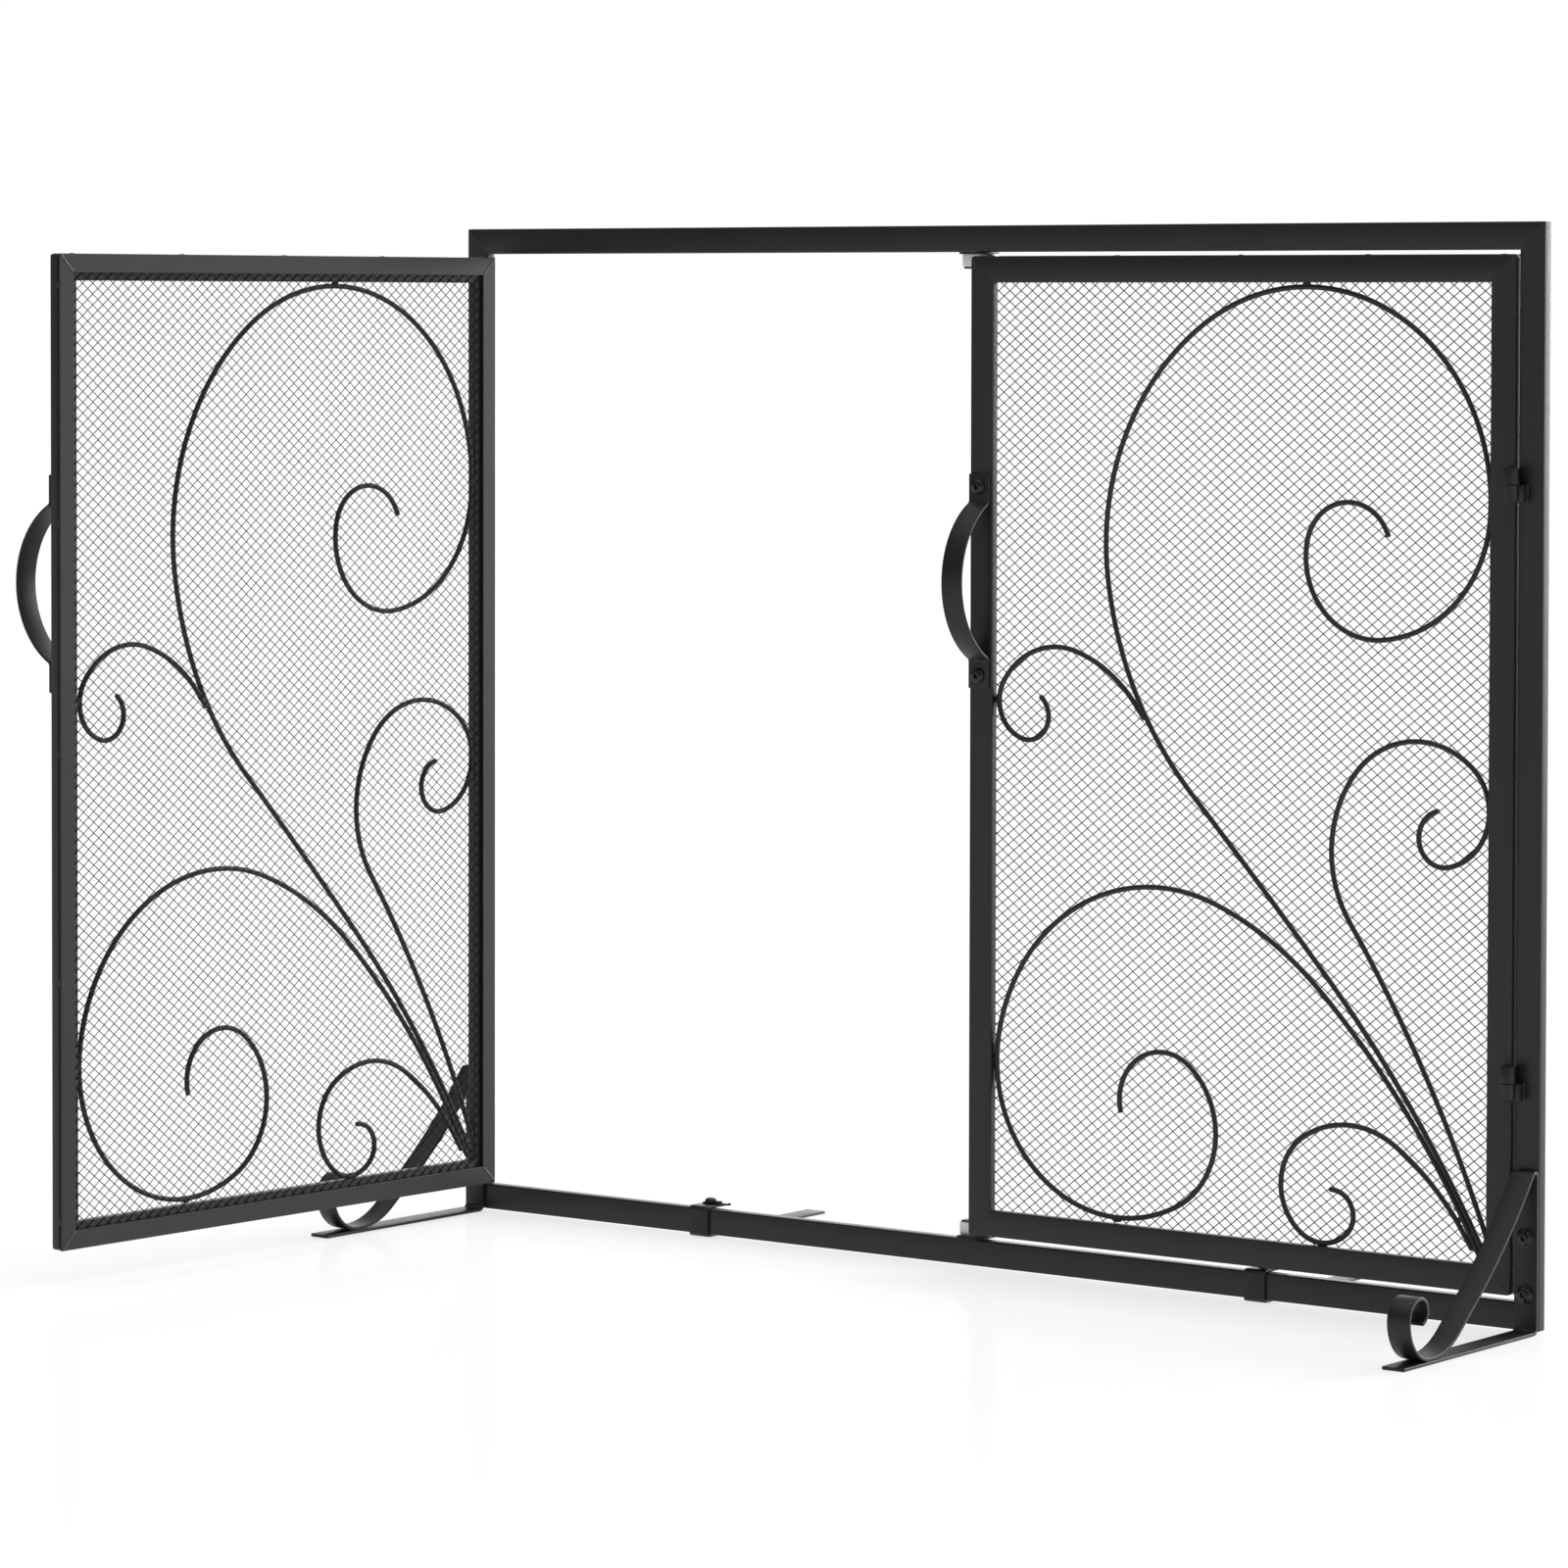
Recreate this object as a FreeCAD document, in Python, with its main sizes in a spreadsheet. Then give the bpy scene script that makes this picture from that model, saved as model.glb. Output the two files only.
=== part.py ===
import FreeCAD, Part
import math
import os
import re
import Sketcher

# Free-standing fireplace screen: a tube frame with two mesh doors, scrollwork, end feet and rear
# stabilisers. Millimetres. The floor is z = 0, x runs along the screen, y points to the fire.
# The right door is closed and the left door stands open about its hinge line.

SIZES = {
    "width": ("980", "frame, overall width"),
    "height": ("787", "top of the frame above the floor"),
    "underside": ("2", "underside of the frame above the floor"),
    "tube_width": ("20", "tube, size in the plane of the screen"),
    "tube_depth": ("10", "frame tube, front to back"),
    "door_depth": ("8", "door tube, front to back"),
    "wall": ("1", "tube wall"),
    "tube_radius": ("1.3", "tube corner radius"),
    "side_gap": ("1.5", "door to stile"),
    "bottom_gap": ("4", "door to bottom rail"),
    "top_gap": ("3", "door to top rail"),
    "door_proud": ("3", "door face in front of the frame face"),
    "frame_half": ("=width / 2 - tube_width / 2", "stile centre line"),
    "door_outer": ("=width / 2 - tube_width - side_gap", "hinge edge of a door"),
    "door_inner": ("1.5", "free edge of a door"),
    "door_bottom": ("=underside + tube_width + bottom_gap", "lower edge of a door"),
    "door_top": ("=height - tube_width - top_gap", "upper edge of a door"),
    "door_height": ("=door_top - door_bottom", "door height"),
    "door_width": ("=door_outer - door_inner", "door width"),
    "door_face": ("=-tube_depth / 2 - door_proud", "front face of a closed door"),
    "door_rear": ("=door_face + door_depth", "rear face of the door tubes"),
    "open_angle": ("94", "left door, degrees open"),
    "wire_size": ("0.8", "mesh wire"),
    "mesh_pitch": ("10.2", "diamond width"),
    "mesh_rise": ("8", "diamond height"),
    "mesh_inset": ("3.5", "mesh edge inside the door edge"),
    "mesh_depth": ("1.7", "woven mesh thickness"),
    "retainer_width": ("14", "mesh retainer strip, width"),
    "retainer_thickness": ("1.3", "mesh retainer strip, thickness"),
    "rod_diameter": ("4", "scroll rod"),
    "hinge_diameter": ("11", "hinge barrel on the door"),
    "hinge_relief": ("0.6", "frame knuckle smaller than the barrel by this diameter"),
    "hinge_height": ("24", "hinge, both knuckles"),
    "hinge_split": ("0.3", "axial gap between knuckles"),
    "hinge_low": ("166", "foot of the lower hinge"),
    "hinge_high": ("589.4", "foot of the upper hinge"),
    "pin_diameter": ("5", "hinge pin"),
    "pin_clearance": ("0.3", "pin to bore, radial"),
    "pin_reach": ("9", "pin above the frame knuckle"),
    "axis_out": ("=door_outer + 0.75", "hinge axis from the middle of the screen"),
    "axis_front": ("=door_face - hinge_diameter / 2", "hinge axis, front to back"),
    "handle_width": ("18", "handle strap, width"),
    "handle_thickness": ("2.5", "handle strap, thickness"),
    "handle_out": ("11", "handle centre line from the middle of the screen"),
    "handle_mid": ("520", "handle middle above the floor"),
    "handle_tab": ("20", "flat tab at each end"),
    "handle_span": ("122", "bow between the tabs"),
    "handle_bend": ("4", "bend at the foot of the bow"),
    "handle_slope": ("61.2", "bow angle at its feet, degrees"),
    "handle_bow": ("=handle_span / 2 / sin(handle_slope * 1deg) - handle_bend", "bow radius"),
    "foot_width": ("18", "end foot strap, width"),
    "foot_thickness": ("2.5", "end foot strap, thickness"),
    "foot_reach": ("190", "front end of the floor strip"),
    "left_toe_out": ("1.9", "left foot, degrees turned outward, clear of the open door"),
    "right_toe_out": ("0", "right foot, degrees turned outward"),
    "foot_peak": ("118", "top of the folded strap"),
    "foot_bolt_low": ("28.4", "lower foot bolt"),
    "foot_bolt_high": ("68.8", "upper foot bolt"),
    "clip_width": ("18", "rear stabiliser strap, width"),
    "clip_thickness": ("2", "rear stabiliser strap, thickness"),
    "clip_out": ("255", "stabiliser centre line"),
    "clip_reach": ("149", "rear end of the stabiliser"),
    "clip_flap": ("17", "end of the flap behind the rail"),
    "clamp_depth": ("9.4", "clamp bolt behind the frame plane"),
    "bolt_diameter": ("6", "shank of every bolt"),
    "head_diameter": ("11.5", "button head"),
    "head_height": ("3.3", "button head"),
    "flange_diameter": ("14", "flange of a foot bolt"),
    "flange_height": ("1.2", "flange of a foot bolt"),
    "knob_diameter": ("10", "clamp bolt head"),
    "knob_height": ("4.2", "clamp bolt head"),
    "socket_size": ("4", "hexagon socket across flats"),
    "socket_depth": ("2", "hexagon socket depth"),
    "catch_width": ("25", "magnetic catch bracket"),
    "catch_plate": ("1.5", "magnetic catch bracket, sheet"),
    "magnet_width": ("28", "catch magnet, along the screen"),
    "magnet_height": ("9.5", "catch magnet"),
    "catch_front": ("3.4", "front of the magnet"),
    "catch_rear": ("13.5", "rear of the catch"),
}

# Scroll rods of one door: start (x, z) and heading, then tangent arcs of (radius, sweep);
# a positive sweep turns left. They are drawn on the right door and mirrored for the left.
SCROLLS = {
    "main": ((443.81, 53.91, 118.16), ((970, 13.37), (5129, 1.95), (281.4, -36.68), (197.1, -61.77),
                                       (153.8, -128.14), (97, -82.38), (58.9, -105.66),
                                       (35.3, -150.68))),
    "side": ((146.31, 432.69, 127.4), ((108.1, 34.26), (56.1, 75.86), (29.3, 105.29),
                                       (18.4, 161.38))),
    "upper": ((445.86, 65.67, 111.21), ((1072, 13.09), (91.8, -72.25), (66.7, -93.54),
                                        (41.8, -125.93), (20.4, -182.11))),
    "lower": ((440.77, 50.45, 117.13), ((691, 18.82), (262.4, 23.23), (143, 102.84), (109.5, 126.4),
                                        (63.2, 112.33), (37.5, 145.24))),
    "small": ((429.38, 63.17, 122.17), ((202.8, 24.3), (68.7, 67.33), (42.9, 109.31), (29.8, 81.7),
                                        (18.1, 141.72))),
}
ORDINALS = ("first", "second", "third", "fourth", "fifth", "sixth", "seventh", "eighth")

for scroll, (start, arcs) in SCROLLS.items():
    for name, size in zip(("start_x", "start_z", "heading"), start):
        SIZES[f"{scroll}_{name}"] = (str(size), f"{scroll} scroll, {name}")
    for ordinal, (radius, sweep) in zip(ORDINALS, arcs):
        SIZES[f"{scroll}_{ordinal}_radius"] = (str(radius), f"{scroll} scroll, {ordinal} arc")
        SIZES[f"{scroll}_{ordinal}_sweep"] = (str(sweep), f"{scroll} scroll, {ordinal} arc")

doc = FreeCAD.newDocument("fireplace_screen")
sheet = doc.addObject("Spreadsheet::Sheet", "sheet")
for row, (name, (content, meaning)) in enumerate(SIZES.items(), start=1):
    sheet.set(f"A{row}", meaning)
    sheet.set(f"B{row}", content)
    sheet.setAlias(f"B{row}", name)
doc.recompute()

pieces = []


def written(formula):
    """Formula with every size name spelled as a sheet reference."""
    def spelled(match):
        return "sheet." + match.group() if match.group() in SIZES else match.group()
    return re.sub(r"[a-z][a-z_]*", spelled, str(formula))


def number(formula):
    value = sheet.evalExpression(written(formula))
    return float(getattr(value, "Value", value))


def bind(thing, prop, formula):
    thing.setExpression(prop, written(formula))


def placement(x, y, z, turn=("0; 0; 1", 0)):
    axis, angle = turn
    return (f"create(<<placement>>; create(<<vector>>; {x}; {y}; {z}); "
            f"create(<<rotation>>; create(<<vector>>; {axis}); {angle}))")


SWING = ("create(<<placement>>; create(<<vector>>; 0; 0; 0); "
         "create(<<rotation>>; create(<<vector>>; 0; 0; 1); -open_angle); "
         "create(<<vector>>; -axis_out; axis_front; 0)) * ")


def put(piece, x, y, z, turn=("0; 0; 1", 0), swings=False):
    """Places a finished piece; a piece of the open door is swung about the hinge line."""
    bind(piece, "Placement", (SWING if swings else "") + placement(x, y, z, turn))
    pieces.append(piece)


def new_body(label):
    body = doc.addObject("PartDesign::Body", label)
    body.Label = label
    return body


def sketch_on(body, plane, lift="0"):
    """Sketch on one of the body's own origin planes, lifted along the plane's normal."""
    sketch = body.newObject("Sketcher::SketchObject", "Sketch")
    support = next(item for item in body.Origin.OriginFeatures if item.Role == plane)
    sketch.AttachmentSupport = [(support, "")]
    sketch.MapMode = "FlatFace"
    if lift != "0":
        bind(sketch, "AttachmentOffset.Base.z", lift)
    return sketch


def dimension(sketch, name, constraint, formula):
    index = sketch.addConstraint(constraint)
    sketch.renameConstraint(index, name)
    sketch.setExpression("Constraints." + name, written(formula))


def locate(sketch, name, geometry, point, x, y):
    for axis, formula in (("X", x), ("Y", y)):
        constraint = Sketcher.Constraint("Distance" + axis, -1, 1, geometry, point, number(formula))
        dimension(sketch, f"{name}_{axis.lower()}", constraint, formula)


def outline(sketch, corners):
    """Closed polygon; each corner is a pair of formulas."""
    first = sketch.GeometryCount
    count = len(corners)
    points = [FreeCAD.Vector(number(x), number(y), 0) for x, y in corners]
    for i in range(count):
        sketch.addGeometry(Part.LineSegment(points[i], points[(i + 1) % count]))
    for i in range(count):
        after = first + (i + 1) % count
        sketch.addConstraint(Sketcher.Constraint("Coincident", first + i, 2, after, 1))
    for i, (x, y) in enumerate(corners):
        locate(sketch, f"corner{first + i}", first + i, 1, x, y)


def box(low_x, low_y, high_x, high_y):
    return [(low_x, low_y), (high_x, low_y), (high_x, high_y), (low_x, high_y)]


def centred(width, depth):
    return box(f"-({width}) / 2", f"-({depth}) / 2", f"({width}) / 2", f"({depth}) / 2")


def circle(sketch, x, y, diameter):
    centre = FreeCAD.Vector(number(x), number(y), 0)
    ring = Part.Circle(centre, FreeCAD.Vector(0, 0, 1), number(diameter) / 2)
    index = sketch.addGeometry(ring)
    size = Sketcher.Constraint("Diameter", index, number(diameter))
    dimension(sketch, f"diameter{index}", size, diameter)
    locate(sketch, f"centre{index}", index, 3, x, y)


def hexagon(sketch, across):
    radius = f"{across} / 2 / cos(30deg)"
    outline(sketch, [(f"{radius} * cos({60 * i}deg)", f"{radius} * sin({60 * i}deg)")
                     for i in range(6)])


def pad(body, sketch, length, symmetric=False):
    feature = body.newObject("PartDesign::Pad", "Pad")
    feature.Profile = sketch
    bind(feature, "Length", length)
    if symmetric:
        feature.SideType = "Symmetric"
    return feature


def pocket(body, sketch, depth=None):
    """Cuts behind the sketch by a depth, or right through both ways."""
    feature = body.newObject("PartDesign::Pocket", "Pocket")
    feature.Profile = sketch
    if depth is None:
        feature.Type = "ThroughAll"
        feature.SideType = "Symmetric"
    else:
        bind(feature, "Length", depth)
    return feature


def fillet(body, feature, radius, wanted):
    """Rounds the edges that a test picks."""
    doc.recompute()
    names = [f"Edge{i + 1}" for i, edge in enumerate(feature.Shape.Edges) if wanted(edge)]
    rounded = body.newObject("PartDesign::Fillet", "Fillet")
    rounded.Base = (feature, names)
    bind(rounded, "Radius", radius)
    return rounded


def mitred_tube(label, length, depth, side=1, holes=()):
    """Rectangular tube along its own z; both ends are mitred down to the inner side.

    Holes through the front wall are given as (x, z) formulas.
    """
    body = new_body(label)
    section = sketch_on(body, "XY_Plane")
    outline(section, centred("tube_width", depth))
    outline(section, centred("tube_width - 2 * wall", f"{depth} - 2 * wall"))
    tube = pad(body, section, length)
    half_width = number("tube_width") / 2
    half_depth = number(depth) / 2

    def is_corner(edge):
        middle = edge.valueAt((edge.FirstParameter + edge.LastParameter) / 2)
        return abs(abs(middle.x) - half_width) < 0.01 and abs(abs(middle.y) - half_depth) < 0.01

    fillet(body, tube, "tube_radius", is_corner)
    cuts = sketch_on(body, "XZ_Plane")
    outer = f"{side} * (tube_width / 2 + 1)"
    inner = f"-{side} * (tube_width / 2 + 1)"
    outline(cuts, [(outer, "-1"), (inner, "-1"), (inner, "tube_width + 1")])
    outline(cuts, [(outer, f"{length} + 1"), (inner, f"{length} + 1"),
                   (inner, f"{length} - tube_width - 1")])
    pocket(body, cuts)
    if holes:
        front = sketch_on(body, "XZ_Plane", f"{depth} / 2")
        for x, z in holes:
            circle(front, x, z, "bolt_diameter")
        pocket(body, front, "wall + 0.5")
    return body


def path(sketch, steps):
    """Tangent chain from the origin along +x: (length,) is a line, (radius, sweep) an arc."""
    place = FreeCAD.Vector()
    heading = 0.0
    ends = []
    for i, step in enumerate(steps):
        if len(step) == 1:
            length = number(step[0])
            ahead = place + FreeCAD.Vector(math.cos(heading), math.sin(heading), 0) * length
            sketch.addGeometry(Part.LineSegment(place, ahead))
            dimension(sketch, f"length{i}", Sketcher.Constraint("Distance", i, length), step[0])
            ends.append((1, 2))
            place = ahead
            continue
        radius = number(step[0])
        sweep = math.radians(number(step[1]))
        side = 1 if sweep > 0 else -1
        normal = FreeCAD.Vector(-math.sin(heading), math.cos(heading), 0) * side
        centre = place + normal * radius
        begin = math.atan2(-normal.y, -normal.x)
        ring = Part.Circle(centre, FreeCAD.Vector(0, 0, 1), radius)
        sketch.addGeometry(Part.ArcOfCircle(ring, min(begin, begin + sweep),
                                            max(begin, begin + sweep)))
        dimension(sketch, f"radius{i}", Sketcher.Constraint("Radius", i, radius), step[0])
        angle = Sketcher.Constraint("Angle", i, abs(sweep))
        dimension(sketch, f"sweep{i}", angle, f"abs({step[1]})")
        ends.append((1, 2) if side > 0 else (2, 1))
        place = centre + FreeCAD.Vector(math.cos(begin + sweep), math.sin(begin + sweep), 0) * radius
        heading += sweep
    sketch.addConstraint(Sketcher.Constraint("Coincident", 0, ends[0][0], -1, 1))
    if len(steps[0]) == 1:
        sketch.addConstraint(Sketcher.Constraint("Horizontal", 0))
    else:
        sketch.addConstraint(Sketcher.Constraint("PointOnObject", 0, 3, -2))
    for i in range(len(steps) - 1):
        joint = Sketcher.Constraint("Tangent", i, ends[i][1], i + 1, ends[i + 1][0])
        sketch.addConstraint(joint)


def bent(label, steps, width=None, thickness=None):
    """Round rod, or flat strap of a width and thickness, bent along a path in its own xz plane."""
    body = new_body(label)
    spine = sketch_on(body, "XZ_Plane")
    path(spine, steps)
    profile = sketch_on(body, "YZ_Plane")
    if width is None:
        circle(profile, "0", "0", "rod_diameter")
    else:
        outline(profile, centred(width, thickness))
    doc.recompute()
    pipe = body.newObject("PartDesign::AdditivePipe", "Pipe")
    pipe.Profile = profile
    pipe.Spine = (spine, [f"Edge{i + 1}" for i in range(len(steps))])
    return body


def button_bolt(label, diameter, height, reach, flanged=False, socket=True):
    """Bolt along its own z with its head above z = 0."""
    body = new_body(label)
    shank = sketch_on(body, "XY_Plane", f"-({reach})")
    circle(shank, "0", "0", "bolt_diameter")
    pad(body, shank, reach)
    seat = "0"
    if flanged:
        flange = sketch_on(body, "XY_Plane")
        circle(flange, "0", "0", "flange_diameter")
        pad(body, flange, "flange_height")
        seat = "flange_height"
    head = sketch_on(body, "XY_Plane", seat)
    circle(head, "0", "0", diameter)
    dome = pad(body, head, height)
    top = number(seat) + number(height)
    dome = fillet(body, dome, f"{height} * 0.8",
                  lambda edge: abs(edge.BoundBox.ZMin - top) < 0.01 and edge.BoundBox.ZLength < 0.01)
    if socket:
        recess = sketch_on(body, "XY_Plane", f"{seat} + {height}")
        hexagon(recess, "socket_size")
        pocket(body, recess, "socket_depth")
    return body


# ---- fixed frame ----
SIDES = ((-1, "left"), (1, "right"))

for side, name in SIDES:
    bolt_line = f"{side} * (tube_width - foot_width) / 2"
    holes = [(bolt_line, "foot_bolt_low - underside"), (bolt_line, "foot_bolt_high - underside")]
    stile = mitred_tube(f"frame_{name}_stile", "height - underside", "tube_depth", side, holes)
    put(stile, f"{side} * frame_half", 0, "underside")

rail = mitred_tube("frame_top_rail", "width", "tube_depth")
put(rail, "-width / 2", 0, "height - tube_width / 2", ("1; 0; 1", 180))
rail = mitred_tube("frame_bottom_rail", "width", "tube_depth")
put(rail, "-width / 2", 0, "underside + tube_width / 2", ("0; 1; 0", 90))

# ---- end feet: floor strip, leg on the stile, folded peak, brace and scroll in one strap ----
LEG = "(foot_reach - tube_depth / 2 - foot_thickness / 2)"
FOOT_PATH = (
    (f"{LEG} - 4",),
    ("4", "90"),
    ("foot_peak - foot_thickness - 8.5",),
    ("3.25", "142"),
    ("458", "-14"),
    ("30.9",),
    ("58", "-38"),
    ("2.8",),
    ("28.2", "-90"),
    ("15", "-90"),
    ("9.5", "-90"),
    ("8.5", "-80"),
)
for side, name in SIDES:
    foot = bent(f"{name}_foot", FOOT_PATH, "foot_width", "foot_thickness")
    behind = sketch_on(foot, "YZ_Plane", f"{LEG} + foot_thickness / 2")
    for height in ("foot_bolt_low", "foot_bolt_high"):
        circle(behind, "0", f"{height} - foot_thickness / 2", "bolt_diameter + 0.5")
    pocket(foot, behind, "foot_thickness")
    turned = f"{name}_toe_out"
    off_stile = f"foot_width / 2 * sin({turned} * 1deg)"
    put(foot, f"{side} * (width / 2 - foot_width / 2 + {LEG} * sin({turned} * 1deg))",
        f"-(tube_depth + foot_thickness) / 2 - {LEG} * cos({turned} * 1deg) - {off_stile}",
        "foot_thickness / 2", ("0; 0; 1", f"90 + {side} * {turned}"))
    under_head = f"foot_thickness + (foot_width + flange_diameter) / 2 * sin({turned} * 1deg)"
    for place in ("low", "high"):
        bolt = button_bolt(f"{name}_foot_{place}_bolt", "head_diameter", "head_height",
                           f"{under_head} + wall", flanged=True)
        put(bolt, f"{side} * (width / 2 - foot_width / 2)", f"-tube_depth / 2 - ({under_head})",
            f"foot_bolt_{place}", ("1; 0; 0", 90))

# ---- rear stabilisers: strap wrapped round the bottom rail and clamped by a bolt ----
CLIP_PATH = (
    ("clip_reach + tube_depth / 2 + clip_thickness / 2 - 2",),
    ("2", "90"),
    ("tube_width - 2",),
    ("2", "90"),
    ("clip_flap + tube_depth / 2 + clip_thickness / 2 - 2",),
)
for side, name in SIDES:
    clip = bent(f"{name}_rear_stabiliser", CLIP_PATH, "clip_width", "clip_thickness")
    hole = sketch_on(clip, "XY_Plane")
    circle(hole, "clip_reach - clamp_depth", "0", "bolt_diameter")
    pocket(clip, hole)
    put(clip, f"{side} * clip_out", "clip_reach", "clip_thickness / 2", ("0; 0; 1", -90))
    bolt = button_bolt(f"{name}_clamp_bolt", "knob_diameter", "knob_height",
                       "underside + tube_width + clip_thickness - 0.3", socket=False)
    tab = sketch_on(bolt, "XY_Plane")
    outline(tab, box("0", "-3", "20", "3"))
    pad(bolt, tab, "1.4")
    put(bolt, f"{side} * clip_out", "clamp_depth", "underside + tube_width + clip_thickness")

# ---- magnetic catches above and below the meeting edges of the doors ----
CATCH_HEIGHT = "(magnet_height + 2 * catch_plate)"
CATCH_PROFILE = [
    ("-3", "0"), ("catch_rear", "0"), ("catch_rear", CATCH_HEIGHT),
    ("catch_front", CATCH_HEIGHT), ("catch_front", "magnet_height + catch_plate"),
    ("catch_rear - catch_plate", "magnet_height + catch_plate"),
    ("catch_rear - catch_plate", "catch_plate"), ("-3", "catch_plate"),
]
for place, height, up in (("bottom", "underside + tube_width", 1), ("top", "height - tube_width", -1)):
    bracket = new_body(f"{place}_catch_bracket")
    sketch = sketch_on(bracket, "YZ_Plane")
    outline(sketch, [(y, f"{up} * ({z})") for y, z in CATCH_PROFILE])
    pad(bracket, sketch, "catch_width", symmetric=True)
    put(bracket, 0, 0, height)
    magnet = doc.addObject("Part::Box", f"{place}_catch_magnet")
    bind(magnet, "Length", "magnet_width")
    bind(magnet, "Width", "catch_rear - catch_plate - catch_front")
    bind(magnet, "Height", "magnet_height")
    low = "catch_plate" if up > 0 else "-catch_plate - magnet_height"
    put(magnet, "-magnet_width / 2", "catch_front", f"{height} + {low}")

# ---- hinges: pin and lower knuckle on the frame, upper knuckle on the door ----
KNUCKLE = "((hinge_height - hinge_split) / 2)"
for side, name in SIDES:
    for place, foot_of_hinge in (("upper", "hinge_high"), ("lower", "hinge_low")):
        pin = new_body(f"{name}_{place}_hinge_pin")
        sketch = sketch_on(pin, "XY_Plane")
        circle(sketch, "0", "0", "hinge_diameter - hinge_relief")
        pad(pin, sketch, KNUCKLE)
        sketch = sketch_on(pin, "XY_Plane")
        circle(sketch, "0", "0", "pin_diameter")
        pad(pin, sketch, f"{KNUCKLE} + pin_reach")
        sketch = sketch_on(pin, "XY_Plane")
        outline(sketch, box(f"{side} * 0.75", "0", f"{side} * 8.75", "-tube_depth / 2 - axis_front"))
        pad(pin, sketch, KNUCKLE)
        put(pin, f"{side} * axis_out", "axis_front", foot_of_hinge)

        knuckle = new_body(f"{name}_door_{place}_knuckle")
        sketch = sketch_on(knuckle, "XY_Plane")
        circle(sketch, "0", "0", "hinge_diameter")
        pad(knuckle, sketch, KNUCKLE)
        sketch = sketch_on(knuckle, "XY_Plane")
        outline(sketch, box(f"{side} * -5.75", "hinge_diameter / 2 - 2", "0", "hinge_diameter / 2"))
        pad(knuckle, sketch, KNUCKLE)
        sketch = sketch_on(knuckle, "XY_Plane", "pin_reach + 0.5")
        circle(sketch, "0", "0", "pin_diameter + 2 * pin_clearance")
        pocket(knuckle, sketch, "pin_reach + 0.5")
        put(knuckle, f"{side} * axis_out", "axis_front", f"{foot_of_hinge} + {KNUCKLE} + hinge_split",
            swings=side < 0)


# ---- doors ----
def serpentine(low, high, slope, spacing, wire):
    """Outline of one layer of parallel sloping wires over a panel, joined end to end by turns."""
    width = high.x - low.x
    rise = slope * spacing
    count = int((width + (high.z - low.z) / abs(slope)) / spacing)
    centre_line = []
    for i in range(count):
        offset = (i + 0.5) * spacing - (0 if slope < 0 else (high.z - low.z) / slope)
        ends = []
        for x, z in ((offset, 0), (offset + (high.z - low.z) / slope, high.z - low.z)):
            inside = min(max(x, 0), width)
            ends.append(FreeCAD.Vector(low.x + inside, 0, low.z + z + (inside - x) * slope))
        if i % 2:
            ends.reverse()
        if (ends[1] - ends[0]).Length > abs(rise):
            centre_line += ends
    left = []
    right = []
    last = len(centre_line) - 1
    for i, point in enumerate(centre_line):
        before = (point - centre_line[i - 1]).normalize() if i > 0 else None
        after = (centre_line[i + 1] - point).normalize() if i < last else None
        before = before or after
        after = after or before
        normal = FreeCAD.Vector(-(before.z + after.z), 0, before.x + after.x).normalize()
        reach = wire / 2 / normal.dot(FreeCAD.Vector(-before.z, 0, before.x))
        left.append(point + normal * reach)
        right.append(point - normal * reach)
    corners = left + right[::-1]
    return Part.Face(Part.makePolygon(corners + corners[:1]))


def mesh_panel(label, side):
    """Two crossed layers of sloping wires; the turns lie under the retainer strips."""
    wire = number("wire_size")
    low = FreeCAD.Vector(number("door_inner + mesh_inset"), 0, number("door_bottom + mesh_inset"))
    high = FreeCAD.Vector(number("door_outer - mesh_inset"), 0, number("door_top - mesh_inset"))
    slope = number("mesh_rise / mesh_pitch")
    layers = []
    for layer, lean in enumerate((slope, -slope)):
        face = serpentine(low, high, lean, number("mesh_pitch"), wire)
        lift = number("door_rear") + layer * (number("mesh_depth") - wire)
        face.translate(FreeCAD.Vector(0, lift, 0))
        layers.append(face.extrude(FreeCAD.Vector(0, wire, 0)))
    panel = Part.makeCompound(layers)
    if side < 0:
        panel = panel.mirror(FreeCAD.Vector(), FreeCAD.Vector(1, 0, 0))
    mesh = doc.addObject("Part::Feature", label)
    mesh.Shape = panel
    return mesh


HANDLE_PATH = (
    ("handle_tab",),
    ("handle_bend", "handle_slope"),
    ("handle_bow", "-2 * handle_slope"),
    ("handle_bend", "handle_slope"),
    ("handle_tab",),
)
BOLT_SPREAD = "(handle_span / 2 + handle_tab / 2)"

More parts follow.
